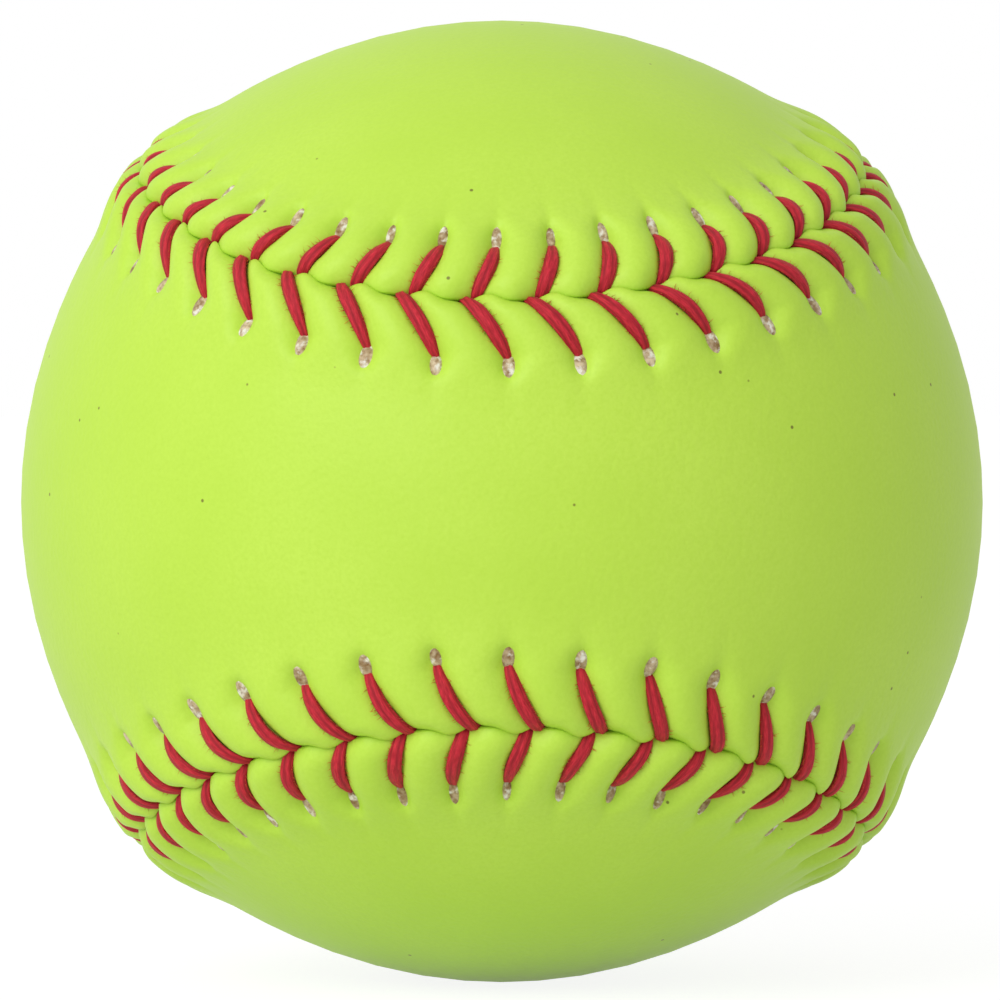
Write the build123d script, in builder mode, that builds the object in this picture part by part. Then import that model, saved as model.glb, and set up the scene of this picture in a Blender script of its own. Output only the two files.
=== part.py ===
"""Twelve inch softball: a moulded core, a cement coat, two sewn cover panels and two threads.

The origin is the centre of the ball and +Z is up. The waist of the front panel faces -Y, its two
lobes reach round to -X and +X, and the lobes of the rear panel close over the top and the bottom.
"""

import os
from math import acos, atan2, cos, pi, radians, sin, sqrt, tan
from typing import NamedTuple

from build123d import *

# Ball and cover
PANEL_DIAMETER = 97.0  # across the smooth middles of the panels, 12 inches round
SKIN_THICKNESS = 1.1  # synthetic leather skin
BACKING_THICKNESS = 0.7  # felt bonded under the skin
CEMENT_THICKNESS = 0.2  # dried latex on the core
BOND_CLEARANCE = 0.08  # between layers that are glued together

# Seam line, as angles at the centre of the ball
WAIST_ANGLE = 24.4  # from the middle of the front waist up to the seam
LOBE_ARC_RADIUS = 44.0  # of the small circle that rounds the end of a lobe
LOBE_ARC_SWEEP = 110.0  # how far the seam follows that circle

# Raised welt beside the seam
WELT_HEIGHT = 2.1  # crest above the smooth panel
CREST_DISTANCE = 3.4  # from the seam to the crest
CREST_RADIUS = 4.6  # rounding of the crest
FOOT_RADIUS = 12.0  # hollow where the welt runs out into the panel
WELT_MARGIN = 0.5  # smooth strip that belongs to the welt, beyond its foot

# Stitches
STITCH_COUNT = 88
THREAD_DIAMETER = 1.2
THREAD_CLEARANCE = 0.06  # round the thread in the cover and on the cement
THREAD_BEND = 0.7  # bend of the thread at the holes and in the seam
LEG_BEND = 3.0  # bend of a leg over the crest
LEG_HOLE_SLOPE = 12.0  # of a leg from its hole up to the crest, in degrees
LEG_SEAM_SLOPE = 20.0  # of a leg from the crest down to the seam, in degrees
THREAD_TAIL = 1.2  # length of hidden thread left after the last stitch
HOLE_DISTANCE = 5.4  # from the seam to where the thread comes up
HOLE_DIAMETER = 1.7  # of the opening in the skin, which shows the backing
DIVE_SPACING = 1.5  # between the two threads where they go down in the seam

# Worked out from the sizes above
PANEL_RADIUS = PANEL_DIAMETER / 2
COVER_THICKNESS = SKIN_THICKNESS + BACKING_THICKNESS
CEMENT_RADIUS = PANEL_RADIUS - COVER_THICKNESS - BOND_CLEARANCE
CORE_RADIUS = CEMENT_RADIUS - CEMENT_THICKNESS - BOND_CLEARANCE
THREAD_RADIUS = THREAD_DIAMETER / 2
PASSAGE_RADIUS = THREAD_RADIUS + THREAD_CLEARANCE
SEAM_GAP = 2 * PASSAGE_RADIUS

CENTRE = Vector(0, 0, 0)
FRONT, REAR = 1, -1


class SeamArc(NamedTuple):
    """One stretch of the seam, turned about an axis through the centre of the ball."""

    axis: Vector
    start: Vector  # on the unit sphere
    across: Vector  # at the start, towards the front panel
    sweep: float
    length: float


def square_to(direction, point):
    """The part of a direction that is square to another, at unit length."""
    return (direction - point * direction.dot(point)).normalized()


def next_quarter(v):
    """The seam repeats when it is turned a quarter about Y and mirrored in Y."""
    return Vector(-v.Z, -v.Y, v.X)


def seam_arcs():
    """Twelve tangent arcs, from the upper right over the front and on round the ball.

    Each quarter of the seam follows a small circle round the end of a lobe, with a wider arc on
    each side that runs out to the corner where the next quarter begins.
    """
    corner = Vector(1, 0, 1).normalized()
    waist = radians(WAIST_ANGLE)
    reach = radians(WAIST_ANGLE + LOBE_ARC_RADIUS)
    lobe = Vector(0, -cos(reach), sin(reach))
    middle = Vector(0, -cos(waist), sin(waist))
    junction = middle.rotate(Axis(CENTRE, lobe), LOBE_ARC_SWEEP / 2)
    inward = square_to(lobe, junction)
    flank_radius = atan2(1 - corner.dot(junction), corner.dot(inward))
    flank = junction * cos(flank_radius) + inward * sin(flank_radius)
    flank_sweep = square_to(corner, flank).get_angle(square_to(junction, flank))
    left_flank = Vector(-flank.X, flank.Y, flank.Z)
    left_junction = Vector(-junction.X, junction.Y, junction.Z)
    quarter = [
        (flank, corner, flank_sweep),
        (lobe, junction, LOBE_ARC_SWEEP),
        (left_flank, left_junction, flank_sweep),
    ]
    arcs = []
    for turn in (-1, 1, -1, 1):
        for pole, start, sweep in quarter:
            across = square_to(pole, start) * turn
            length = PANEL_RADIUS * pole.cross(start).length * radians(sweep)
            arcs.append(SeamArc(pole * turn, start, across, sweep, length))
        quarter = [(next_quarter(pole), next_quarter(start), sweep) for pole, start, sweep in quarter]
    return arcs


SEAM = seam_arcs()
SEAM_LENGTH = sum(arc.length for arc in SEAM)
PITCH = SEAM_LENGTH / STITCH_COUNT


def seam_place(along, across, height):
    """A point along the seam, across it towards the front panel, and above the smooth panel."""
    along %= SEAM_LENGTH
    for arc in SEAM:
        if along <= arc.length:
            break
        along -= arc.length
    turn = Axis(CENTRE, arc.axis), arc.sweep * along / arc.length
    angle = across / PANEL_RADIUS
    out = arc.start.rotate(*turn) * cos(angle) + arc.across.rotate(*turn) * sin(angle)
    return out * (PANEL_RADIUS + height)


def seam_plane(arc):
    """Section across the seam at the start of an arc: X to the front panel, Y out of the ball."""
    return Plane(CENTRE, x_dir=arc.across, z_dir=arc.across.cross(arc.start))


def section_point(radius, across):
    """A point of that section, by its distance from the centre and across the seam."""
    angle = across / PANEL_RADIUS
    return Vector(sin(angle), cos(angle)) * radius


# Centres of the crest and of the hollow that meets it and the smooth panel, in that section
CREST_REACH = PANEL_RADIUS + WELT_HEIGHT - CREST_RADIUS
FOOT_REACH = PANEL_RADIUS + FOOT_RADIUS
FOOT_SPAN = CREST_RADIUS + FOOT_RADIUS
FOOT_TURN = acos((CREST_REACH**2 + FOOT_REACH**2 - FOOT_SPAN**2) / (2 * CREST_REACH * FOOT_REACH))
FOOT_DISTANCE = CREST_DISTANCE + FOOT_TURN * PANEL_RADIUS
CREST_CENTRE = section_point(CREST_REACH, CREST_DISTANCE)
FOOT_CENTRE = section_point(FOOT_REACH, FOOT_DISTANCE)
WELT_REACH = PANEL_RADIUS * sin(FOOT_DISTANCE / PANEL_RADIUS) + WELT_MARGIN


# The thread clears the cover by one passage radius: hidden runs lie on the cement, and each leg
# has two straight runs that touch a circle round the crest
RUN_HEIGHT = PASSAGE_RADIUS - COVER_THICKNESS
EDGE_RADIUS = PANEL_RADIUS + RUN_HEIGHT + PASSAGE_RADIUS
LEG_CLEAR_RADIUS = CREST_RADIUS + PASSAGE_RADIUS


def leg_height(slope, across):
    """Height of a leg's straight run, tilted towards the hole, at a distance from the seam."""
    square = Vector(sin(radians(slope)), cos(radians(slope)))
    reach = LEG_CLEAR_RADIUS + square.dot(CREST_CENTRE)
    return reach / square.dot(section_point(1, across)) - PANEL_RADIUS


def leg_crest():
    """Where the two runs of a leg meet above the crest, as a distance from the seam and a height."""
    half_bend = radians(LEG_HOLE_SLOPE + LEG_SEAM_SLOPE) / 2
    lean = radians(LEG_HOLE_SLOPE - LEG_SEAM_SLOPE) / 2
    corner = CREST_CENTRE + Vector(sin(lean), cos(lean)) * (LEG_CLEAR_RADIUS / cos(half_bend))
    return PANEL_RADIUS * atan2(corner.X, corner.Y), corner.length - PANEL_RADIUS


def welt_section(plane, side, outer, inner):
    """Section of one layer of the welt between two depths, on the side of one panel.

    The crest and the hollow are concentric arcs, so that a layer keeps its thickness. The cut edge
    turns down beside the seam and stops above the hidden runs of the thread.
    """
    to_foot = (FOOT_CENTRE - CREST_CENTRE).normalized()
    to_seam = Vector(-1, -1).normalized()
    to_top = Vector(0, 1)
    to_panel = (section_point(PANEL_RADIUS, FOOT_DISTANCE) - FOOT_CENTRE).normalized()
    between = (to_panel - to_foot).normalized()

    def crest(way, depth):
        point = CREST_CENTRE + way * (CREST_RADIUS - depth)
        return side * point.X, point.Y

    def foot(way, depth):
        point = FOOT_CENTRE + way * (FOOT_RADIUS + depth)
        return side * point.X, point.Y

    def rim(depth):
        return side * WELT_REACH, sqrt((PANEL_RADIUS - depth) ** 2 - WELT_REACH**2)

    with BuildSketch(plane) as section:
        with BuildLine():
            ThreePointArc(crest(to_seam, outer), crest(to_top, outer), crest(to_foot, outer))
            ThreePointArc(crest(to_foot, outer), foot(between, outer), foot(to_panel, outer))
            RadiusArc(foot(to_panel, outer), rim(outer), side * (PANEL_RADIUS - outer))
            Line(rim(outer), rim(inner))
            RadiusArc(rim(inner), foot(to_panel, inner), -side * (PANEL_RADIUS - inner))
            ThreePointArc(foot(to_panel, inner), foot(between, inner), crest(to_foot, inner))
            ThreePointArc(crest(to_foot, inner), crest(to_top, inner), crest(to_seam, inner))
            Line(crest(to_seam, inner), crest(to_seam, outer))
        make_face()
        with Locations((side * (SEAM_GAP - PANEL_DIAMETER) / 2, 0)):
            Rectangle(PANEL_DIAMETER, 2 * PANEL_DIAMETER, mode=Mode.SUBTRACT)
        with Locations((0, EDGE_RADIUS - PANEL_RADIUS / 2)):
            Rectangle(2 * CREST_CENTRE.X, PANEL_RADIUS, mode=Mode.SUBTRACT)
        Circle(CEMENT_RADIUS + BOND_CLEARANCE, mode=Mode.SUBTRACT)
    return section.sketch


def panel_layers(outer, inner):
    """One layer of the front panel and of the rear panel, before they are sewn.

    The smooth middles are what a band along the seam leaves of a hollow sphere, and the welts
    take the place of the band.
    """
    bands = []
    welts = {FRONT: [], REAR: []}
    for arc in SEAM:
        with BuildSketch(seam_plane(arc)) as band:
            with Locations((0, PANEL_RADIUS)):
                Rectangle(2 * WELT_REACH, 4 * COVER_THICKNESS)
        turn = {"axis": Axis(CENTRE, arc.axis), "revolution_arc": arc.sweep, "mode": Mode.PRIVATE}
        bands.append(revolve(band.sketch, **turn))
        for side in (FRONT, REAR):
            section = welt_section(seam_plane(arc), side, outer, inner)
            welts[side].append(revolve(section, **turn))
    with BuildPart() as middles:
        Sphere(PANEL_RADIUS - outer)
        Sphere(PANEL_RADIUS - inner, mode=Mode.SUBTRACT)
        add(bands, mode=Mode.SUBTRACT)
    front_middle, rear_middle = middles.solids().sort_by(Axis.Y)
    with BuildPart() as front:
        add([front_middle, *welts[FRONT]])
    with BuildPart() as rear:
        add([rear_middle, *welts[REAR]])
    return front.part, rear.part


def stitch_places(side, number):
    """The corners of a stitch on one panel, with the bend at each.

    The thread comes up through the hole from its hidden run, lies on the welt as a slanted leg and
    goes down in the seam half a pitch on, beside the leg from the other panel.
    """
    start = number * PITCH
    dive = start + PITCH / 2 + side * DIVE_SPACING / 2
    crest, crest_height = leg_crest()
    over = dive + (start - dive) * crest / HOLE_DISTANCE
    return [
        (seam_place(start, side * HOLE_DISTANCE, RUN_HEIGHT), THREAD_BEND),
        (seam_place(start, side * HOLE_DISTANCE, leg_height(LEG_HOLE_SLOPE, HOLE_DISTANCE)), THREAD_BEND),
        (seam_place(over, side * crest, crest_height), LEG_BEND),
        (seam_place(dive, 0, leg_height(-LEG_SEAM_SLOPE, 0)), THREAD_BEND),
        (seam_place(dive, 0, RUN_HEIGHT), THREAD_BEND),
    ]


def thread_route(strand):
    """The whole route of a strand, as straight runs joined by tangent arcs.

    It changes panel at every stitch. It begins under its first hole, and after the last stitch it
    stops under the cover, short of that hole.
    """
    stops = []
    for number in range(STITCH_COUNT):
        side = FRONT if (number + strand) % 2 == 0 else REAR
        stops += stitch_places(side, number)
    corners = [corner for corner, bend in stops]
    end = corners[-1] + (corners[0] - corners[-1]).normalized() * (THREAD_BEND + THREAD_TAIL)
    edges = []
    run_start = corners[0]
    for before, (corner, bend), after in zip(corners, stops[1:], [*corners[2:], end]):
        back = (before - corner).normalized()
        onward = (after - corner).normalized()
        half_angle = radians(back.get_angle(onward)) / 2
        bend_start = corner + back * (bend / tan(half_angle))
        bend_end = corner + onward * (bend / tan(half_angle))
        inside = (back + onward).normalized()
        bend_middle = corner + inside * (bend / sin(half_angle) - bend)
        edges.append(Edge.make_line(run_start, bend_start))
        edges.append(Edge.make_three_point_arc(bend_start, bend_middle, bend_end))
        run_start = bend_end
    edges.append(Edge.make_line(run_start, end))
    return Wire(edges)


def hole_cuts(side, radius):
    """Round holes out through the cover. They grow away from the seam, and clear the thread."""
    cuts = []
    across = side * (HOLE_DISTANCE + radius - PASSAGE_RADIUS)
    for number in range(STITCH_COUNT):
        inside = seam_place(number * PITCH, across, -COVER_THICKNESS)
        outside = seam_place(number * PITCH, across, WELT_HEIGHT)
        to_seam = seam_place(number * PITCH, 0, 0) - inside
        plane = Plane(inside, x_dir=square_to(to_seam, inside.normalized()), z_dir=inside)
        cuts.append(Solid.make_cylinder(radius, (outside - inside).length, plane))
    return cuts


os.makedirs("parts", exist_ok=True)

with BuildPart() as core:
    Sphere(CORE_RADIUS)
core.part.label = "core"
export_step(core.part, "parts/core.step")

with BuildPart() as cement_coat:
    Sphere(CEMENT_RADIUS)
    Sphere(CEMENT_RADIUS - CEMENT_THICKNESS, mode=Mode.SUBTRACT)
cement_coat.part.label = "cement_coat"
export_step(cement_coat.part, "parts/cement_coat.step")

front_backing_blank, rear_backing_blank = panel_layers(SKIN_THICKNESS, COVER_THICKNESS)
front_skin_blank, rear_skin_blank = panel_layers(0, SKIN_THICKNESS)

with BuildPart() as front_cover_backing:
    add(front_backing_blank)
    add(hole_cuts(FRONT, PASSAGE_RADIUS), mode=Mode.SUBTRACT)
front_cover_backing.part.label = "front_cover_backing"
export_step(front_cover_backing.part, "parts/front_cover_backing.step")

with BuildPart() as rear_cover_backing:
    add(rear_backing_blank)
    add(hole_cuts(REAR, PASSAGE_RADIUS), mode=Mode.SUBTRACT)
rear_cover_backing.part.label = "rear_cover_backing"
export_step(rear_cover_backing.part, "parts/rear_cover_backing.step")

with BuildPart() as front_cover_skin:
    add(front_skin_blank)
    add(hole_cuts(FRONT, HOLE_DIAMETER / 2), mode=Mode.SUBTRACT)
front_cover_skin.part.label = "front_cover_skin"
export_step(front_cover_skin.part, "parts/front_cover_skin.step")

with BuildPart() as rear_cover_skin:
    add(rear_skin_blank)
    add(hole_cuts(REAR, HOLE_DIAMETER / 2), mode=Mode.SUBTRACT)
rear_cover_skin.part.label = "rear_cover_skin"
export_step(rear_cover_skin.part, "parts/rear_cover_skin.step")

route_a = thread_route(0)
with BuildPart() as thread_strand_a:
    with BuildSketch(Plane(route_a @ 0, z_dir=route_a % 0)):
        Circle(THREAD_RADIUS)
    sweep(path=route_a)
thread_strand_a.part.label = "thread_strand_a"
export_step(thread_strand_a.part, "parts/thread_strand_a.step")

route_b = thread_route(1)
with BuildPart() as thread_strand_b:
    with BuildSketch(Plane(route_b @ 0, z_dir=route_b % 0)):
        Circle(THREAD_RADIUS)
    sweep(path=route_b)
thread_strand_b.part.label = "thread_strand_b"
export_step(thread_strand_b.part, "parts/thread_strand_b.step")

for name, route, thread in (("a", route_a, thread_strand_a), ("b", route_b, thread_strand_b)):
    tube = pi * THREAD_RADIUS**2 * route.length
    print(f"strand {name}: {route.length:.1f} mm, volume {thread.part.volume:.1f} of {tube:.1f} mm3")
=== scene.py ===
import bmesh
import bpy
import numpy as np
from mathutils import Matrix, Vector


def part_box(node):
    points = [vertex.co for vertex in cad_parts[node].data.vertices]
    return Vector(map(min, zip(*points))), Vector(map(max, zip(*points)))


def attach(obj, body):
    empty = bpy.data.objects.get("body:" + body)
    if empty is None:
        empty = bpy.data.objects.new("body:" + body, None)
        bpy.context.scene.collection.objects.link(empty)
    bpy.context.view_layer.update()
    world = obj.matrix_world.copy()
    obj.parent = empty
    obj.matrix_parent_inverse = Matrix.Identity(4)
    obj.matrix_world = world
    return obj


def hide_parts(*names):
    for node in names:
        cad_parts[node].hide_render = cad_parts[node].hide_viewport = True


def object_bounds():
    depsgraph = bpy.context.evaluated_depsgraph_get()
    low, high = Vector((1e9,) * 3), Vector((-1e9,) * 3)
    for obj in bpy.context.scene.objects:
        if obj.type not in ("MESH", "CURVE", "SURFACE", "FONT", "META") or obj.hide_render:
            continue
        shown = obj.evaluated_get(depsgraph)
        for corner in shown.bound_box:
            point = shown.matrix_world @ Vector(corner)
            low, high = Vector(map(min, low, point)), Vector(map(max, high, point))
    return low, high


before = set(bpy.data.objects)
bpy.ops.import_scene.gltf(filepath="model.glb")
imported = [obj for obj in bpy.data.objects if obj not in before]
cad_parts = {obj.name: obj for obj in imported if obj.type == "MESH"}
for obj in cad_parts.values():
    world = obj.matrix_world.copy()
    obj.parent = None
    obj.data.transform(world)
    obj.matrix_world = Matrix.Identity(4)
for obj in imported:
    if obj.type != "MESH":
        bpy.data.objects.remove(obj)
cad_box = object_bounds()

# Core
# The middle of the ball is one solid moulding of polyurethane foam with a closed skin.
# It is poured in a two-part mould and has a matt, faintly pitted surface.


def add_node(tree, kind, settings=None, **sockets):
    """One shader node. Settings are its properties. A socket is given a value or another node's output."""
    new = tree.nodes.new("ShaderNode" + kind)
    for key, value in (settings or {}).items():
        setattr(new, key, value)
    for key, value in sockets.items():
        socket = new.inputs[key.replace("_", " ")]
        if isinstance(value, bpy.types.NodeSocket):
            tree.links.new(value, socket)
        else:
            socket.default_value = value
    return new


def mix_colour(tree, factor, first, second):
    """The colour output of a mix from first to second by factor. Each is a value or a socket."""
    mix = tree.nodes.new("ShaderNodeMix")
    mix.data_type = "RGBA"
    for index, value in ((0, factor), (6, first), (7, second)):
        if isinstance(value, bpy.types.NodeSocket):
            tree.links.new(value, mix.inputs[index])
        else:
            mix.inputs[index].default_value = value
    return mix.outputs[2]


def new_finish(name, **sockets):
    """An empty material with its surface shader, whose plain values are set on the shader itself."""
    material = bpy.data.materials.new(name)
    material.use_nodes = True
    tree = material.node_tree
    tree.nodes.clear()
    shader = add_node(tree, "BsdfPrincipled", None, **sockets)
    output = add_node(tree, "OutputMaterial")
    tree.links.new(shader.outputs["BSDF"], output.inputs["Surface"])
    return material, tree, shader


def build_mottle():
    """Shared group: two sizes of noise multiplied into a tint mask, and the fine one alone as a height."""
    group = bpy.data.node_groups.new("fine_mottle", "ShaderNodeTree")
    face = group.interface
    face.new_socket("Place", in_out="INPUT", socket_type="NodeSocketVector")
    face.new_socket("Grain Scale", in_out="INPUT", socket_type="NodeSocketFloat")
    face.new_socket("Patch Scale", in_out="INPUT", socket_type="NodeSocketFloat")
    face.new_socket("Tint", in_out="OUTPUT", socket_type="NodeSocketFloat")
    face.new_socket("Height", in_out="OUTPUT", socket_type="NodeSocketFloat")
    inside = group.nodes.new("NodeGroupInput").outputs
    fine = add_node(group, "TexNoise", Vector=inside["Place"], Scale=inside["Grain Scale"], Detail=4.0)
    broad = add_node(group, "TexNoise", Vector=inside["Place"], Scale=inside["Patch Scale"], Detail=2.0)
    tint = add_node(group, "Math", {"operation": "MULTIPLY"})
    group.links.new(fine.outputs[0], tint.inputs[0])
    group.links.new(broad.outputs[0], tint.inputs[1])
    outside = group.nodes.new("NodeGroupOutput").inputs
    group.links.new(tint.outputs[0], outside["Tint"])
    group.links.new(fine.outputs[0], outside["Height"])
    return group


mottle_group = build_mottle()


def add_mottle(tree, place, grain_scale, patch_scale):
    """The shared mottle placed in one material, with that material's own grain and patch sizes."""
    new = tree.nodes.new("ShaderNodeGroup")
    new.node_tree = mottle_group
    tree.links.new(place, new.inputs["Place"])
    new.inputs["Grain Scale"].default_value = grain_scale
    new.inputs["Patch Scale"].default_value = patch_scale
    return new.outputs


def spread(tree, value, low, high):
    """A value stretched so that low becomes 0 and high becomes 1, and held there."""
    return add_node(tree, "MapRange", None, Value=value, From_Min=low, From_Max=high).outputs[0]


def mottled_finish(name, pale, dark, grain_scale, patch_scale, roughness, bump_depth):
    """A matt moulded or dried surface: two tints by the mottle, and its fine noise as pitting."""
    material, tree, shader = new_finish(name, Roughness=roughness)
    place = add_node(tree, "TexCoord").outputs["Object"]
    mottle = add_mottle(tree, place, grain_scale, patch_scale)
    tint = spread(tree, mottle["Tint"], 0.12, 0.40)
    tree.links.new(mix_colour(tree, tint, dark, pale), shader.inputs["Base Color"])
    bump = add_node(tree, "Bump", None, Strength=0.5, Distance=bump_depth, Height=mottle["Height"])
    tree.links.new(bump.outputs[0], shader.inputs["Normal"])
    return material


core_foam = mottled_finish(
    "core_foam", (0.87, 0.81, 0.63, 1), (0.80, 0.72, 0.52, 1), 1400.0, 90.0, 0.75, 0.0002)
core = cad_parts["core"]
core.data.materials.clear()
core.data.materials.append(core_foam)

# Cement coat
# A thin film of latex cement is brushed over the core and dries tacky.
# It bonds the felt backing of both panels to the core.

cement_film = mottled_finish(
    "cement_film", (0.88, 0.84, 0.71, 1), (0.79, 0.72, 0.55, 1), 900.0, 140.0, 0.42, 0.0001)
cement_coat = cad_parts["cement_coat"]
cement_coat.data.materials.clear()
cement_coat.data.materials.append(cement_film)

# Cover skins
# Two equal dumbbell panels of optic yellow synthetic leather wrap the ball and meet at one closed seam.
# The thread pulls each edge down between stitches, so the leather stands up as a row of soft pillows.

PANEL_RADIUS = -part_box("front_cover_skin")[0][1] * 1000.0
STITCHES = 88
WAIST_ANGLE = np.radians(24.4)
LOBE_ANGLE = np.radians(44.0)
LOBE_SWEEP = np.radians(110.0)
HOLE_DISTANCE = 5.2
HOLE_SWING = 0.62
HOLE_LEAN = 0.4
HOLE_PHASE = 0.09
HOLE_DRIFT = 0.09
APEX_PHASE = 0.5
APEX_OFFSET = 0.08
SKIN_COLUMNS = 20
SKIN_THICKNESS = 1.0
WELT_HEIGHT = 1.4
WELT_REACH = 1.36
TAIL_HEIGHT = 0.8
TAIL_REACH = 13.0
ROW_OFFSET = 0.12
SECOND_SWING = 0.4
LEAN_START = 3.0
SLACK = 0.25
HOLE_WANDER = 0.2
LEG_BOW = 0.06
LEG_WANDER = 0.03
CREASE_START = 0.80
CREASE_SWING = 0.27
CREASE_WANDER = 0.12
VALLEY_DEPTH = 1.68
VALLEY_GAIN = 0.20
VALLEY_WANDER = 0.12
VALLEY_POWER = 2.2
HOLE_DEPTH = 0.42
PUCKER_DEPTH = 0.14
EDGE_DROP = 0.90
EDGE_REACH = 2.0
EDGE_POWER = 2.2
SEAM_WALL = 1.30
# Painted shade along the crease: a strength here and, after the leather tints, the darker green it paints.
CREASE_SHADE_LEVEL = 0.25
LEATHER_DARK = (0.470, 0.720, 0.056, 1)
LEATHER_PALE = (0.515, 0.760, 0.075, 1)
CREASE_SHADE_COLOUR = (0.27, 0.48, 0.006, 1)
SPECK_COLOUR = (0.19, 0.21, 0.02, 1)


def unit(vectors):
    """Each vector divided by its length."""
    return vectors / np.linalg.norm(vectors, axis=-1, keepdims=True)


def turned(start, axis, angle):
    """A vector turned about a unit axis by an array of angles: its part along the axis stays."""
    angle = np.asarray(angle)[..., None]
    along_axis = axis * np.dot(axis, start)
    return along_axis + (start - along_axis) * np.cos(angle) + np.cross(axis, start) * np.sin(angle)


def quarter_arcs():
    """Pole, start and sweep of the three circle arcs that make the first quarter of the seam."""
    reach = WAIST_ANGLE + LOBE_ANGLE
    corner = unit(np.array([1.0, 0.0, 1.0]))
    lobe = np.array([0.0, -np.cos(reach), np.sin(reach)])
    middle = np.array([0.0, -np.cos(WAIST_ANGLE), np.sin(WAIST_ANGLE)])
    junction = turned(middle, lobe, LOBE_SWEEP / 2)
    inward = unit(lobe - junction * np.dot(lobe, junction))
    flank_angle = np.arctan2(1.0 - np.dot(corner, junction), np.dot(corner, inward))
    flank = junction * np.cos(flank_angle) + inward * np.sin(flank_angle)
    from_pole = unit(corner - flank * np.dot(flank, corner))
    to_pole = unit(junction - flank * np.dot(flank, junction))
    flank_sweep = np.arccos(np.dot(from_pole, to_pole))
    mirror = np.array([-1.0, 1.0, 1.0])
    return ((flank, corner, flank_sweep), (lobe, junction, LOBE_SWEEP),
            (flank * mirror, junction * mirror, flank_sweep))


def seam_line(along):
    """Point of the seam on a unit ball and the direction across it to the front panel.

    Along is counted in stitches. Each quarter is three arcs that touch, and the next quarter is the same
    line turned a quarter about Y and mirrored in Y, with its curve bending the other way.
    """
    along = np.mod(np.asarray(along, dtype=float), STITCHES)
    quarter = np.minimum((along * 4 / STITCHES).astype(int), 3)
    arcs = quarter_arcs()
    lengths = [np.linalg.norm(np.cross(pole, start)) * sweep for pole, start, sweep in arcs]
    run = (along * 4 / STITCHES - quarter) * sum(lengths)
    begins = np.concatenate(([0.0], np.cumsum(lengths)[:-1]))
    point = np.zeros(along.shape + (3,))
    inward = np.zeros(along.shape + (3,))
    for (pole, start, sweep), length, begin in zip(arcs, lengths, begins):
        here = turned(start, -pole, (run - begin) * sweep / length)
        towards = unit(pole - here * (here @ pole)[..., None])
        chosen = (run >= begin)[..., None]
        point = np.where(chosen, here, point)
        inward = np.where(chosen, towards, inward)
    step = np.array([[0.0, 0.0, -1.0], [0.0, -1.0, 0.0], [1.0, 0.0, 0.0]])
    turns = np.stack([np.linalg.matrix_power(step, count) for count in range(4)])[quarter]
    sign = np.where(quarter % 2 == 0, -1.0, 1.0)[..., None]
    point = np.einsum("...ij,...j->...i", turns, point)
    inward = np.einsum("...ij,...j->...i", turns, inward)
    return point, inward * sign


def seam_place(along, across, height):
    """Seam measures to space: along in stitches, across to the front panel and height out in millimetres."""
    point, towards = seam_line(along)
    angle = (across / PANEL_RADIUS)[..., None]
    return (point * np.cos(angle) + towards * np.sin(angle)) * (PANEL_RADIUS + height)[..., None]


STITCH_PITCH = PANEL_RADIUS * 4 / STITCHES * sum(
    np.linalg.norm(np.cross(pole, start)) * sweep for pole, start, sweep in quarter_arcs())


def wander(along, first, second, third):
    """A slow unevenness round the seam, from -1 to 1: three sines of whole turns, so that it closes."""
    turn = 2 * np.pi * along / STITCHES
    return (0.5 * np.sin(first * turn + second) + 0.3 * np.sin((first + 12) * turn + third)
            + 0.2 * np.sin((first + 23) * turn + second * third))


def bell(value, width):
    """A smooth hump of height 1: e to the minus square of value over width."""
    return np.exp(-(value / width) ** 2)


def ease(value, low, high):
    """A smooth step from 0 at low to 1 at high."""
    part = np.clip((value - low) / (high - low), 0.0, 1.0)
    return part * part * (3.0 - 2.0 * part)


def welt_height(inward, holes):
    """Height of the smooth raised seam at a distance in from it: a shoulder to the holes and a long tail."""
    shoulder = np.exp(-(inward / (WELT_REACH * holes)) ** 3.5)
    return WELT_HEIGHT * shoulder + TAIL_HEIGHT * bell(inward, TAIL_REACH)


def apex_phase(side):
    """Where along its stitch a leg ends at the seam. Side is 1 for the front panel and -1 for the rear."""
    return APEX_PHASE + APEX_OFFSET * side


def once_round(along):
    """A slow drift round the seam: 0 at the middle of its first quarter and 2 half a turn on."""
    return 1.0 - np.cos(2 * np.pi * (along / STITCHES - 0.125))


def hole_phase(side, along):
    """Where along its stitch a needle hole is. The rows are not quite opposite, and the front one drifts."""
    drift = HOLE_DRIFT * once_round(along) if side > 0 else 0.0
    return drift - HOLE_PHASE * side


def hole_distance(side, along):
    """Distance of the needle holes from the seam, by harmonics of one turn round it.

    It is largest where the seam crosses a waist, leans to the corner where the sewing comes to the
    front waist, and wanders a little.
    """
    turn = 8 * np.pi * (along / STITCHES - 0.125)
    swing = (HOLE_SWING - ROW_OFFSET * side) * (np.cos(turn) + SECOND_SWING * np.cos(2 * turn))
    lean = HOLE_LEAN * np.cos(4 * np.pi * (along + LEAN_START) / STITCHES)
    slack = SLACK * once_round(along) + HOLE_WANDER * wander(along, 5 + side, 1.1, 2.3 * side)
    return HOLE_DISTANCE + ROW_OFFSET * side + swing + lean + slack


def leg_phase(side, along, inward):
    """Where along its stitch a leg lies at a distance from the seam: a straight slant with a slight bow."""
    part = np.clip(1.0 - inward / hole_distance(side, along), 0.0, 1.15)
    bow = LEG_BOW * np.sin(np.pi * np.clip(part, 0.0, 1.0))
    start = hole_phase(side, along)
    slant = start + (apex_phase(side) - start) * part
    return slant - bow + LEG_WANDER * wander(along, 9 - side, 0.4, 1.7)


def crease_shift(along):
    """How far the crease between the panels swings from the seam line, towards the front panel."""
    turn = 2 * np.pi * (along - CREASE_START)
    swing = np.cos(turn) + 0.3 * np.sin(2 * turn)
    return CREASE_SWING * swing + CREASE_WANDER * wander(along, 6, 2.0, 0.9)


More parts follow.
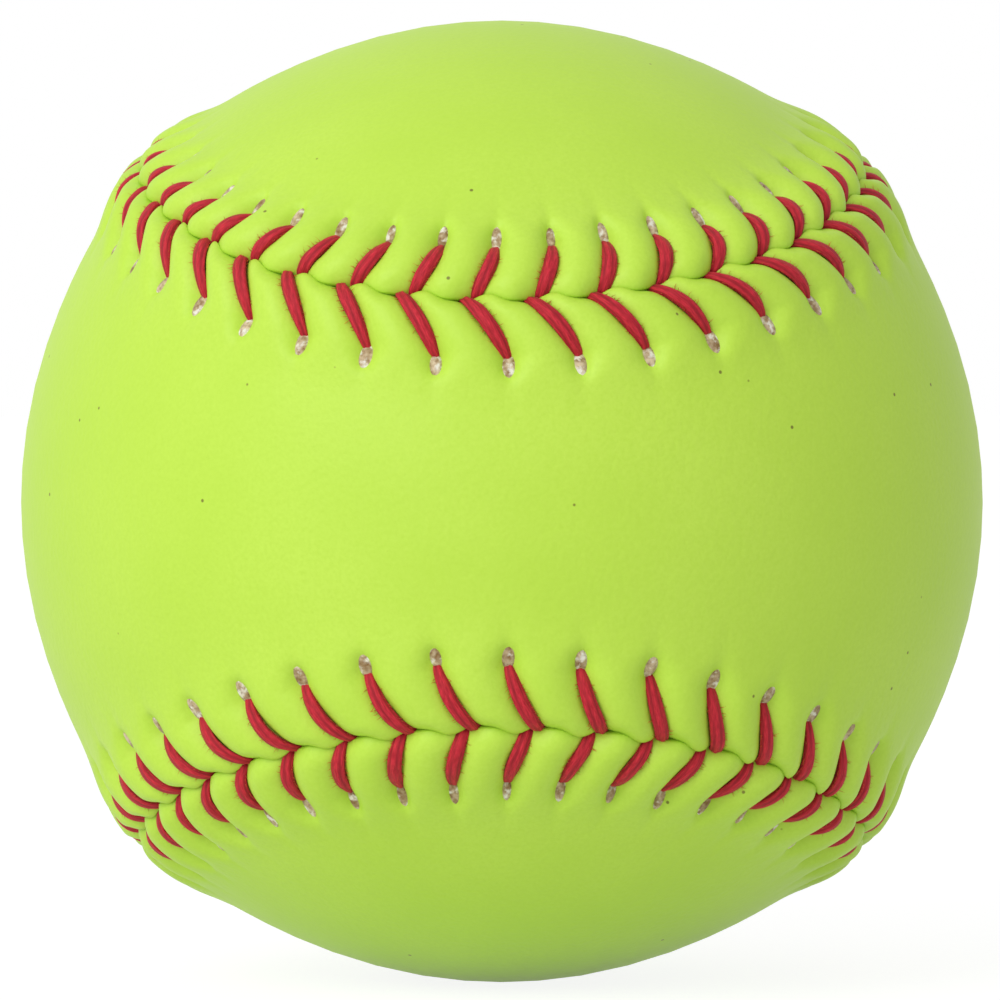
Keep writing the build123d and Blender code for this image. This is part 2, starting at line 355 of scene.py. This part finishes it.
def from_leg(side, along, inward):
    """Distance along the seam from the nearest leg's middle line, in millimetres, less than half a pitch."""
    offset = along - leg_phase(side, along, inward)
    return (offset - np.round(offset)) * STITCH_PITCH


def cover_height(side, along, inward):
    """Height of the leather over the plain ball.

    The smooth welt, minus a valley at each leg that leaves the leather between as round pillows, the
    needle hole and the pucker beyond it, and the steepening roll of the edge down into the crease.
    """
    hole_line = hole_distance(side, along)
    aside = from_leg(side, along, inward)
    share = 1.0 - np.abs(aside) / (STITCH_PITCH / 2)
    uneven = VALLEY_WANDER * wander(along, 11, 0.3, 1.9 * side)
    depth = VALLEY_DEPTH + VALLEY_GAIN * ease(inward, 2.0, 5.5) + uneven
    valley = depth * share ** VALLEY_POWER * (1.0 - ease(inward - hole_line, -0.4, 3.0))
    from_hole = along - hole_phase(side, along)
    hole_aside = (from_hole - np.round(from_hole)) * STITCH_PITCH
    hole = HOLE_DEPTH * bell(hole_aside, 0.75) * bell(inward - hole_line - 0.9, 1.3)
    pucker = PUCKER_DEPTH * bell(hole_aside, 0.9) * bell(inward - hole_line - 2.8, 2.0)
    drop = EDGE_DROP * np.clip(1.0 - inward / EDGE_REACH, 0.0, 1.0) ** EDGE_POWER
    return welt_height(inward, hole_line) - valley - hole - pucker - drop


def under_side(inward):
    """Height of the leather's inner face: the smooth welt less a wall that is thicker under the seam."""
    wall = SKIN_THICKNESS + SEAM_WALL * np.exp(-(inward / 9.5) ** 5)
    return welt_height(inward, HOLE_DISTANCE) - wall


def spine_point(side, points):
    """The nearest point of a panel's middle line: laid on its plane, held between the lobe ends."""
    if side > 0:
        angle = np.arctan2(points[..., 0], -points[..., 1])
    else:
        angle = np.arctan2(points[..., 2], points[..., 1])
    angle = np.clip(angle, WAIST_ANGLE + LOBE_ANGLE - np.pi, np.pi - WAIST_ANGLE - LOBE_ANGLE)
    flat = np.zeros_like(angle)
    if side > 0:
        return np.stack([np.sin(angle), -np.cos(angle), flat], axis=-1)
    return np.stack([flat, np.cos(angle), np.sin(angle)], axis=-1)


def panel_rows(side, along, margin, inner):
    """Directions and distances of a panel's rows, from the seam in to its spine.

    Margin rows keep a fixed distance from the seam. Inner rows are shares of the great circle from the
    last margin row to the spine.
    """
    swing = crease_shift(along) * bell(margin[:, None], 1.6)
    across = side * margin[:, None] + swing
    edge = seam_place(along + np.zeros_like(across), across, np.zeros_like(across)) / PANEL_RADIUS
    last = edge[-1]
    spine = spine_point(side, last)
    angle = np.arccos(np.clip(np.sum(last * spine, axis=-1), -1.0, 1.0))
    share = inner[:, None]
    start = (np.sin((1.0 - share) * angle) / np.sin(angle))[..., None] * last
    finish = (np.sin(share * angle) / np.sin(angle))[..., None] * spine
    distance = margin[-1] + share * angle * PANEL_RADIUS
    flat = margin[:, None] + np.zeros_like(across)
    return np.concatenate([edge, start + finish]), np.concatenate([flat, distance])


def grid_faces(rows, columns):
    """Four corners of every face of a grid whose columns close into a ring."""
    row, column = np.meshgrid(np.arange(rows - 1), np.arange(columns), indexing="ij")
    beside = (column + 1) % columns
    corners = (row * columns + column, row * columns + beside,
               (row + 1) * columns + beside, (row + 1) * columns + column)
    return np.stack(corners, axis=-1).reshape(-1, 4)


def new_piece(name, points, faces, material, node, masks=None, corner_places=None):
    """A mesh object from points in millimetres and arrays of faces, closed at its poles, with its masks."""
    mesh = bpy.data.meshes.new(name)
    mesh.from_pydata((points / 1000.0).tolist(), [], [face for group in faces for face in group.tolist()])
    for key, values in (masks or {}).items():
        mesh.attributes.new(key, "FLOAT", "POINT").data.foreach_set("value", values.ravel())
    if corner_places is not None:
        layer = mesh.uv_layers.new(name="thread_places")
        layer.uv.foreach_set("vector", corner_places.ravel())
    closing = bmesh.new()
    closing.from_mesh(mesh)
    bmesh.ops.remove_doubles(closing, verts=closing.verts, dist=2e-6)
    bmesh.ops.recalc_face_normals(closing, faces=closing.faces)
    closing.to_mesh(mesh)
    closing.free()
    mesh.shade_smooth()
    mesh.materials.append(material)
    piece = bpy.data.objects.new(name, mesh)
    bpy.context.collection.objects.link(piece)
    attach(piece, "root")
    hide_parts(node)
    return piece


def leather_finish():
    """Optic yellow satin leather: patchy tint, pebble grain, sparse dark specks, and painted shade that
    turns the crease darker and greener.
    """
    material, tree, shader = new_finish("cover_leather", Specular_IOR_Level=0.36)
    place = add_node(tree, "TexCoord").outputs["Object"]
    mottle = add_mottle(tree, place, 2600.0, 60.0)
    patch = spread(tree, mottle["Tint"], 0.10, 0.42)
    colour = mix_colour(tree, patch, LEATHER_DARK, LEATHER_PALE)
    # Painted shade: the crease mask mixes the leather towards a darker green along the crease between the
    # panels.
    crease = add_node(tree, "Attribute", {"attribute_name": "crease"}).outputs["Fac"]
    colour = mix_colour(tree, crease, colour, CREASE_SHADE_COLOUR)
    specks = add_node(tree, "TexVoronoi", None, Vector=place, Scale=235.0)
    near = add_node(tree, "MapRange", None, Value=specks.outputs["Distance"], From_Min=0.05,
                    From_Max=0.03).outputs[0]
    chance = add_node(tree, "SeparateColor", None, Color=specks.outputs["Color"])
    rare = add_node(tree, "Math", {"operation": "GREATER_THAN"})
    tree.links.new(chance.outputs[0], rare.inputs[0])
    rare.inputs[1].default_value = 0.28
    speck = add_node(tree, "Math", {"operation": "MULTIPLY"})
    tree.links.new(near, speck.inputs[0])
    tree.links.new(rare.outputs[0], speck.inputs[1])
    colour = mix_colour(tree, speck.outputs[0], colour, SPECK_COLOUR)
    tree.links.new(colour, shader.inputs["Base Color"])
    rough = add_node(tree, "MapRange", None, Value=mottle["Height"], To_Min=0.43, To_Max=0.57)
    tree.links.new(rough.outputs[0], shader.inputs["Roughness"])
    pebbles = add_node(tree, "TexVoronoi", {"feature": "SMOOTH_F1"}, Vector=place, Scale=1500.0)
    height = add_node(tree, "Math", {"operation": "MULTIPLY_ADD"})
    tree.links.new(mottle["Height"], height.inputs[0])
    height.inputs[1].default_value = 0.6
    tree.links.new(pebbles.outputs["Distance"], height.inputs[2])
    bump = add_node(tree, "Bump", None, Strength=0.28, Distance=0.00012, Height=height.outputs[0])
    tree.links.new(bump.outputs[0], shader.inputs["Normal"])
    return material


cover_leather = leather_finish()


def cover_skin(side, name, node):
    """One panel as a closed shell: outer rows from spine to seam, the cut edge, and inner rows back."""
    along = np.arange(STITCHES * SKIN_COLUMNS) / SKIN_COLUMNS
    margin = np.concatenate([np.array([0.0, 0.06, 0.18, 0.36, 0.6]), np.arange(0.9, 8.6, 0.32),
                             np.array([9.0, 9.8, 10.8, 12.0])])
    inner = np.array([0.08, 0.2, 0.35, 0.52, 0.7, 0.86, 1.0])
    rays, distance = panel_rows(side, along, margin, inner)
    height = cover_height(side, along, distance)
    outer = rays * (PANEL_RADIUS + height)[..., None]
    under_margin = np.array([0.0, 0.5, 2.0, 4.0, 6.0, 8.0, 12.0])
    under_rays, under_distance = panel_rows(side, along, under_margin, np.array([0.4, 1.0]))
    under_height = under_side(under_distance)
    under = under_rays * (PANEL_RADIUS + under_height)[..., None]
    points = np.concatenate([outer[::-1], under])
    # The crease mask is painted shade: a narrow darker green band along the crease, full on the cut edge and
    # the inner face.
    crease = np.concatenate([(CREASE_SHADE_LEVEL * bell(distance, 0.2))[::-1], np.ones_like(under_distance)])
    faces = grid_faces(len(points), points.shape[1])
    return new_piece(name, points.reshape(-1, 3), [faces], cover_leather, node,
                     masks={"crease": crease})


cover_skin(1, "front_panel_leather", "front_cover_skin")
cover_skin(-1, "rear_panel_leather", "rear_cover_skin")

# Felt backings
# Each panel is lined with needled felt, bonded to the leather before it is cut.
# The awl and the pull of the thread draw a tuft of it up into every needle hole, where it shows.

FELT_THICKNESS = 0.65
FELT_COLUMNS = 6
TUFT_COLUMNS = 12
TUFT_ROWS = 7
TUFT_PLACE = 0.95
TUFT_HALF_LENGTH = 1.52
TUFT_HALF_WIDTH = 0.80
TUFT_RISE = 0.26
TUFT_HALF_HEIGHT = 0.44
TUFT_TILT = 0.16
FELT_GAP = 0.10
FELT_BROWN = (0.25, 0.135, 0.05, 1)
FELT_TAN = (0.68, 0.54, 0.37, 1)
FLECK_COLOUR = (0.82, 0.78, 0.70, 1)


def felt_finish():
    """Pale felt with tan and brown fibres: two sizes of noise, pale flecks and a fuzzy surface."""
    material, tree, shader = new_finish("backing_felt", Roughness=0.9, Specular_IOR_Level=0.2,
                                        Sheen_Weight=0.3)
    place = add_node(tree, "TexCoord").outputs["Object"]
    mottle = add_mottle(tree, place, 2300.0, 800.0)
    tint = spread(tree, mottle["Tint"], 0.14, 0.38)
    colour = mix_colour(tree, tint, FELT_BROWN, FELT_TAN)
    flecks = add_node(tree, "TexNoise", None, Vector=place, Scale=1300.0, Detail=3.0)
    pale = spread(tree, flecks.outputs[0], 0.52, 0.66)
    colour = mix_colour(tree, pale, colour, FLECK_COLOUR)
    tree.links.new(colour, shader.inputs["Base Color"])
    bump = add_node(tree, "Bump", None, Strength=0.8, Distance=0.0002, Height=mottle["Height"])
    tree.links.new(bump.outputs[0], shader.inputs["Normal"])
    return material


backing_felt = felt_finish()


def felt_height(inward):
    """Height of the felt's outer face: just under the leather."""
    return under_side(inward) - FELT_GAP


def tuft_grids(side):
    """A tuft of felt in each needle hole: an egg, longest across the seam, uneven from hole to hole."""
    stitch = np.arange(STITCHES)[:, None, None]
    ring = np.linspace(0.0, 2 * np.pi, TUFT_COLUMNS, endpoint=False)[None, None, :]
    rise = np.linspace(-np.pi / 2, np.pi / 2, TUFT_ROWS)[None, :, None]
    size = 1.0 + 0.14 * np.sin(stitch * 2.4 + side) + 0.08 * np.sin(stitch * 5.7)
    lean = 0.18 * np.sin(stitch * 3.3 + 2.0 * side)
    out = np.sin(rise) + 0.0 * ring
    length = np.cos(rise) * np.sin(ring)
    across_way = np.cos(ring)
    width = np.cos(rise) * np.sign(across_way) * np.abs(across_way) ** 0.8
    middle = stitch + hole_phase(side, stitch)
    inward = hole_distance(side, middle) + TUFT_PLACE + TUFT_HALF_LENGTH * size * length
    aside = (TUFT_HALF_WIDTH * size * width + lean * length) / STITCH_PITCH
    surface = cover_height(side, middle + 0.0 * ring, hole_distance(side, middle) + 0.9)
    height = surface + TUFT_RISE + TUFT_HALF_HEIGHT * out + TUFT_TILT * length
    places = seam_place(middle + aside, side * inward, height + 0.0 * aside)
    faces = grid_faces(TUFT_ROWS, TUFT_COLUMNS)
    first = (np.arange(STITCHES) * TUFT_ROWS * TUFT_COLUMNS)[:, None, None]
    return places.reshape(-1, 3), (faces[None] + first).reshape(-1, 4)


def cover_backing(side, name, node):
    """The felt under one panel as a closed shell, with its tufts in the needle holes."""
    along = np.arange(STITCHES * FELT_COLUMNS) / FELT_COLUMNS
    margin = np.array([1.2, 2.0, 3.0, 4.0, 5.0, 6.0, 7.0, 8.0, 10.0, 12.0])
    rays, distance = panel_rows(side, along, margin, np.array([0.25, 0.5, 0.75, 1.0]))
    height = felt_height(distance)
    outer = rays * (PANEL_RADIUS + height)[..., None]
    under = rays * (PANEL_RADIUS + height - FELT_THICKNESS)[..., None]
    shell = np.concatenate([outer[::-1], under])
    shell_faces = grid_faces(len(shell), shell.shape[1])
    tufts, tuft_faces = tuft_grids(side)
    points = np.concatenate([shell.reshape(-1, 3), tufts])
    faces = [shell_faces, tuft_faces + shell.shape[0] * shell.shape[1]]
    return new_piece(name, points, faces, backing_felt, node)


cover_backing(1, "front_panel_felt", "front_cover_backing")
cover_backing(-1, "rear_panel_felt", "rear_cover_backing")

# Seam threads
# Two waxed crimson threads of twisted plies are sewn by hand with two needles, one from each side.
# Each comes up through a needle hole, lies slanting over the pillow edge and dives into the seam.

LEG_HALF_WIDTH = 0.69
LEG_HALF_DEPTH = 0.42
HIDDEN_HALF_WIDTH = 0.6
HIDDEN_HALF_DEPTH = 0.4
HIDDEN_HEIGHT = -1.35
THREAD_PROFILE = 16
ROUTE_STEPS = 5
LEG_SHARES = np.array([0.07, 0.28, 0.52, 0.76, 0.95])
ROUTE_PLACES = 9
HAIRS_PER_LEG = 22
HAIR_RADIUS = 0.03
LEG_LIFT = np.array([0.30, 0.76, 0.98, 0.88, 0.46])
LEG_WIDTHS = (0.78, 0.94, 1.0, 0.98, 0.86)
FRONT_LIFT = 0.08
FRONT_END = -0.05
REAR_END = 0.30
PLY_COUNT = 5
PLY_TWIST = 0.30
PLY_SWELL = 0.11
THREAD_DARK = (0.38, 0.007, 0.018, 1)
THREAD_BRIGHT = (0.68, 0.030, 0.052, 1)
# Painted shade between the plies of the thread.
PLY_SHADE_COLOUR = (0.20, 0.003, 0.010, 1)
HAIR_COLOUR = (0.62, 0.13, 0.02, 1)


def thread_finish():
    """Waxed crimson thread: fibres run along it, with painted shade darkening it between the plies, and a
    soft sheen.
    """
    material, tree, shader = new_finish("seam_thread", Specular_IOR_Level=0.25, Sheen_Weight=0.12,
                                        Sheen_Roughness=0.5)
    shader.inputs["Sheen Tint"].default_value = (1.0, 0.45, 0.4, 1)
    place = add_node(tree, "TexCoord").outputs["UV"]
    long_way = add_node(tree, "Mapping", None, Vector=place)
    long_way.inputs["Scale"].default_value = (34.0, 1.3, 1.0)
    fibre = add_node(tree, "TexNoise", None, Vector=long_way.outputs[0], Scale=1.0, Detail=4.0)
    strength = spread(tree, fibre.outputs[0], 0.32, 0.70)
    colour = mix_colour(tree, strength, THREAD_DARK, THREAD_BRIGHT)
    # Painted shade: darker red where the profile dips between the plies.
    ply = add_node(tree, "Attribute", {"attribute_name": "ply_valley_shade"}).outputs["Fac"]
    colour = mix_colour(tree, ply, colour, PLY_SHADE_COLOUR)
    loose = add_node(tree, "Attribute", {"attribute_name": "loose_fibre"}).outputs["Fac"]
    colour = mix_colour(tree, loose, colour, HAIR_COLOUR)
    tree.links.new(colour, shader.inputs["Base Color"])
    rough = add_node(tree, "MapRange", None, Value=fibre.outputs[0], To_Min=0.5, To_Max=0.8)
    tree.links.new(rough.outputs[0], shader.inputs["Roughness"])
    bump = add_node(tree, "Bump", None, Strength=0.7, Distance=0.0001, Height=fibre.outputs[0])
    tree.links.new(bump.outputs[0], shader.inputs["Normal"])
    return material


seam_thread = thread_finish()


def leg_places(side, stitch):
    """Along, inward and height of the visible leg of each stitch, resting in its groove, hole end first."""
    hole = hole_distance(side, stitch)[:, None]
    end = FRONT_END if side > 0 else REAR_END
    inward = hole + (end - hole) * LEG_SHARES
    along = stitch[:, None] + leg_phase(side, stitch[:, None] + 0.0 * inward, inward)
    over = np.maximum(inward, 0.40)
    height = cover_height(side, along, over) + LEG_LIFT + (FRONT_LIFT if side > 0 else 0.0)
    return along, inward, height


def thread_route(strand):
    """Along, across, height, half width and half depth of one thread at its turning places.

    For each stitch: below the hole, in the hole, five places of the leg, the dive into the seam and the
    hidden run below, on alternate panels, so that the whole route closes.
    """
    stitch = np.arange(STITCHES) + 0.0
    routes = []
    for side in (1, -1):
        along, inward, height = leg_places(side, stitch)
        hole = hole_distance(side, stitch)
        entry = stitch + hole_phase(side, stitch)
        down = along[:, -1] + 0.05
        below = stitch + apex_phase(side) + 0.12
        rows = [
            (entry, hole + 0.35, 0.0 * hole + HIDDEN_HEIGHT, HIDDEN_HALF_WIDTH, HIDDEN_HALF_DEPTH),
            (entry + 0.01, hole + 0.10, height[:, 0] - 0.9, 0.5, 0.45)]
        for index, width in enumerate(LEG_WIDTHS):
            rows.append((along[:, index], inward[:, index], height[:, index],
                         LEG_HALF_WIDTH * width, LEG_HALF_DEPTH))
        rows.append((down, inward[:, -1] - 0.30, height[:, -1] - 0.90, 0.62, 0.42))
        rows.append((below, 0.0 * hole - 0.9, 0.0 * hole + HIDDEN_HEIGHT, HIDDEN_HALF_WIDTH,
                     HIDDEN_HALF_DEPTH))
        columns = [np.stack([a, side * b, c, d + 0.0 * a, e + 0.0 * a], axis=-1) for a, b, c, d, e in rows]
        routes.append(np.stack(columns, axis=1))
    front_turn = ((np.arange(STITCHES) + strand) % 2 == 0)[:, None, None]
    return np.where(front_turn, routes[0], routes[1]).reshape(-1, 5)


def smooth_loop(route, steps):
    """A curve through every place of a closed route: on each span a cubic whose slopes are the chords."""
    closed = np.array([STITCHES, 0.0, 0.0, 0.0, 0.0])
    before = np.roll(route, 1, axis=0)
    before[0] -= closed
    after = np.roll(route, -1, axis=0)
    after[-1] += closed
    beyond = np.roll(route, -2, axis=0)
    beyond[-2:] += closed
    share = (np.arange(steps) / steps)[None, :, None]
    first, second, third, fourth = (part[:, None, :] for part in (before, route, after, beyond))
    slope_in = 0.5 * (third - first)
    slope_out = 0.5 * (fourth - second)
    cubic = (second * (2 * share ** 3 - 3 * share ** 2 + 1)
             + slope_in * (share ** 3 - 2 * share ** 2 + share)
             + third * (3 * share ** 2 - 2 * share ** 3) + slope_out * (share ** 3 - share ** 2))
    return cubic.reshape(-1, 5)


def loose_fibres(line, tangent, wide, half_width, seed):
    """Fine fibres standing off the edges of the legs: bent spikes of three sides, base, knee and tip."""
    chance = np.random.default_rng(seed)
    count = STITCHES * HAIRS_PER_LEG
    stitch = np.repeat(np.arange(STITCHES), HAIRS_PER_LEG)
    ring = stitch * ROUTE_PLACES * ROUTE_STEPS + chance.integers(12, 30, count)
    edge = np.where(chance.random(count) < 0.5, -1.0, 1.0)[:, None]
    reach = chance.uniform(0.30, 0.85, count)[:, None]
    out = unit(line[ring])
    away = unit(edge * wide[ring] + out * chance.uniform(0.45, 0.9, count)[:, None]
                + tangent[ring] * chance.uniform(-0.6, 0.6, count)[:, None])
    bend = unit(away + tangent[ring] * chance.uniform(-0.9, 0.9, count)[:, None] + out * 0.2)
    base = line[ring] + edge * wide[ring] * half_width[ring][:, None] * 0.85
    knee = base + away * reach * 0.55
    tip = knee + bend * reach * 0.45
    aside = unit(np.cross(away, tangent[ring]))
    other = np.cross(away, aside)
    turn = np.arange(3) * 2 * np.pi / 3
    spoke = (aside[:, None, :] * np.cos(turn)[None, :, None]
             + other[:, None, :] * np.sin(turn)[None, :, None]) * HAIR_RADIUS
    points = np.concatenate(
        [base[:, None, :] + spoke, knee[:, None, :] + spoke * 0.8, tip[:, None, :]], axis=1)
    first = (np.arange(count) * 7)[:, None, None]
    walls = np.array([[0, 1, 4, 3], [1, 2, 5, 4], [2, 0, 3, 5]])[None] + first
    ends = np.array([[3, 4, 6], [4, 5, 6], [5, 3, 6], [0, 2, 1]])[None] + first
    return points.reshape(-1, 3), walls.reshape(-1, 4), ends.reshape(-1, 3)


def seam_strand(strand, name, node):
    """One thread as a closed tube: a flattened profile of plies carried along the smoothed route."""
    route = smooth_loop(thread_route(strand), ROUTE_STEPS)
    line = seam_place(route[:, 0], route[:, 1], route[:, 2])
    tangent = unit(np.roll(line, -1, axis=0) - np.roll(line, 1, axis=0))
    ahead = seam_place(route[:, 0] + 0.05, route[:, 1], route[:, 2])
    behind = seam_place(route[:, 0] - 0.05, route[:, 1], route[:, 2])
    seam_way = unit(ahead - behind)
    wide = unit(seam_way - tangent * np.sum(seam_way * tangent, axis=-1, keepdims=True))
    deep = np.cross(tangent, wide)
    turn = np.linspace(0.0, 2 * np.pi, THREAD_PROFILE, endpoint=False)[None, :]
    length = np.concatenate([[0.0], np.cumsum(np.linalg.norm(np.diff(line, axis=0), axis=1))])[:, None]
    ply = np.cos(PLY_COUNT * turn + PLY_TWIST * length)
    swell = 1.0 + PLY_SWELL * ply
    flat_x = route[:, 3:4] * np.cos(turn) * swell
    flat_y = route[:, 4:5] * np.sin(turn) * swell
    tube = line[:, None, :] + wide[:, None, :] * flat_x[..., None] + deep[:, None, :] * flat_y[..., None]
    rings = len(line)
    ring, spoke = np.meshgrid(np.arange(rings), np.arange(THREAD_PROFILE), indexing="ij")
    next_ring = (ring + 1) % rings
    next_spoke = (spoke + 1) % THREAD_PROFILE
    corners = ((ring, spoke), (next_ring, spoke), (next_ring, next_spoke), (ring, next_spoke))
    walls = np.stack([r * THREAD_PROFILE + s for r, s in corners], axis=-1).reshape(-1, 4)
    whole = np.append(length[:, 0], length[-1, 0] + np.linalg.norm(line[0] - line[-1]))
    places = np.stack([np.stack([(spoke + s) / THREAD_PROFILE, whole[ring + r]], axis=-1)
                       for r, s in ((0, 0), (1, 0), (1, 1), (0, 1))], axis=-2)
    # Painted shade mask: strongest in the dips of the profile between the plies.
    valley = 0.75 * np.clip(-ply - 0.3, 0.0, 1.0) / 0.7
    hairs, hair_walls, hair_ends = loose_fibres(line, tangent, wide, route[:, 3], strand + 7)
    points = np.concatenate([tube.reshape(-1, 3), hairs])
    faces = [walls, hair_walls + tube.shape[0] * tube.shape[1], hair_ends + tube.shape[0] * tube.shape[1]]
    hair_places = np.zeros((hair_walls.size + hair_ends.size, 2))
    masks = {"ply_valley_shade": np.concatenate([(valley + 0.0 * flat_x).ravel(), np.zeros(len(hairs))]),
             "loose_fibre": np.concatenate([np.zeros(flat_x.size), np.ones(len(hairs))])}
    return new_piece(name, points, faces, seam_thread, node, masks=masks,
                     corner_places=np.concatenate([places.reshape(-1, 2), hair_places]))


seam_strand(0, "seam_thread_first", "thread_strand_a")
seam_strand(1, "seam_thread_second", "thread_strand_b")

# Floor and studio light
# A plain white table carries the ball, with a soft lamp up on the left in front. White surroundings give
# the rest of the light, a little stronger from the left and the front.
# The camera looks slightly down on the ball, far off on a long lens.

FLOOR_HALF = 4.0
CAMERA_DISTANCE = 0.679
CAMERA_RISE = np.radians(1.54)
CAMERA_LENS = 241.8
CAMERA_SENSOR = 36.0
CAMERA_SHIFT = (-0.0019, 0.0013)
TABLE_GLOW = 0.88
KEY_WAY = np.array([-0.56, -0.80, 0.58])
KEY_DISTANCE = 1.2
KEY_POWER = 7.3
KEY_SIZE = 0.8
ROOM_LIGHT = 0.555
ROOM_SLOPE = (-0.152, -0.125, 0.045)


def seen_rays(tree):
    """1 for a ray from the camera or one that a glossy or clear surface sends on, 0 for the rest."""
    ray = add_node(tree, "LightPath").outputs
    seen = add_node(tree, "Math", {"operation": "MAXIMUM"})
    tree.links.new(ray["Is Camera Ray"], seen.inputs[0])
    tree.links.new(ray["Is Glossy Ray"], seen.inputs[1])
    seen_too = add_node(tree, "Math", {"operation": "MAXIMUM"})
    tree.links.new(seen.outputs[0], seen_too.inputs[0])
    tree.links.new(ray["Is Transmission Ray"], seen_too.inputs[1])
    return seen_too.outputs[0]


def floor_finish():
    """White table: to the camera nearly white by itself with a faint share of lit white for the shadow."""
    material = bpy.data.materials.new("white_table")
    material.use_nodes = True
    tree = material.node_tree
    tree.nodes.clear()
    seen = seen_rays(tree)
    glow = add_node(tree, "Emission", None, Color=(1, 1, 1, 1), Strength=TABLE_GLOW)
    faint = add_node(tree, "BsdfDiffuse", None, Color=(0.22, 0.22, 0.22, 1))
    shown = add_node(tree, "AddShader")
    tree.links.new(glow.outputs[0], shown.inputs[0])
    tree.links.new(faint.outputs[0], shown.inputs[1])
    plain = add_node(tree, "BsdfDiffuse", None, Color=(0.92, 0.92, 0.92, 1))
    choice = add_node(tree, "MixShader")
    tree.links.new(seen, choice.inputs[0])
    tree.links.new(plain.outputs[0], choice.inputs[1])
    tree.links.new(shown.outputs[0], choice.inputs[2])
    output = add_node(tree, "OutputMaterial")
    tree.links.new(choice.outputs[0], output.inputs["Surface"])
    return material


def white_room():
    """White to the camera and in gloss. For light, a plain level that rises to the left and the front."""
    world = bpy.data.worlds.new("white_room")
    bpy.context.scene.world = world
    world.use_nodes = True
    tree = world.node_tree
    tree.nodes.clear()
    seen = seen_rays(tree)
    way = add_node(tree, "TexCoord").outputs["Generated"]
    slope = add_node(tree, "VectorMath", {"operation": "DOT_PRODUCT"})
    tree.links.new(way, slope.inputs[0])
    slope.inputs[1].default_value = ROOM_SLOPE
    level = add_node(tree, "Math", {"operation": "ADD"})
    tree.links.new(slope.outputs["Value"], level.inputs[0])
    level.inputs[1].default_value = ROOM_LIGHT
    room = add_node(tree, "Background", None, Color=(1, 1, 1, 1), Strength=level.outputs[0])
    backdrop = add_node(tree, "Background", None, Color=(1, 1, 1, 1), Strength=1.0)
    choice = add_node(tree, "MixShader")
    tree.links.new(seen, choice.inputs[0])
    tree.links.new(room.outputs[0], choice.inputs[1])
    tree.links.new(backdrop.outputs[0], choice.inputs[2])
    output = add_node(tree, "OutputWorld")
    tree.links.new(choice.outputs[0], output.inputs["Surface"])


def aimed(thing, place):
    """Puts a lamp or camera at a place and turns it to look at the middle of the ball."""
    thing.location = place
    thing.rotation_euler = (-thing.location).to_track_quat("-Z", "Y").to_euler()
    bpy.context.collection.objects.link(thing)


floor_level = cad_box[0][2]
table_points = np.array([[x, y, 0.0] for x, y in ((-1, -1), (1, -1), (1, 1), (-1, 1))]) * FLOOR_HALF
table_mesh = bpy.data.meshes.new("white_table")
table_mesh.from_pydata((table_points + np.array([0.0, 0.0, floor_level])).tolist(), [], [(0, 1, 2, 3)])
table_mesh.materials.append(floor_finish())
table = bpy.data.objects.new("white_table", table_mesh)
bpy.context.collection.objects.link(table)
white_room()

key = bpy.data.lights.new("key_lamp", "AREA")
key.size = KEY_SIZE
key.energy = KEY_POWER
aimed(bpy.data.objects.new("key_lamp", key), (unit(KEY_WAY) * KEY_DISTANCE).tolist())

camera_data = bpy.data.cameras.new("camera")
camera_data.lens = CAMERA_LENS
camera_data.sensor_width = CAMERA_SENSOR
camera_data.shift_x, camera_data.shift_y = CAMERA_SHIFT
camera = bpy.data.objects.new("camera", camera_data)
aimed(camera, (0.0, -CAMERA_DISTANCE * np.cos(CAMERA_RISE), CAMERA_DISTANCE * np.sin(CAMERA_RISE)))
bpy.context.scene.camera = camera
bpy.context.scene.view_settings.view_transform = "Standard"
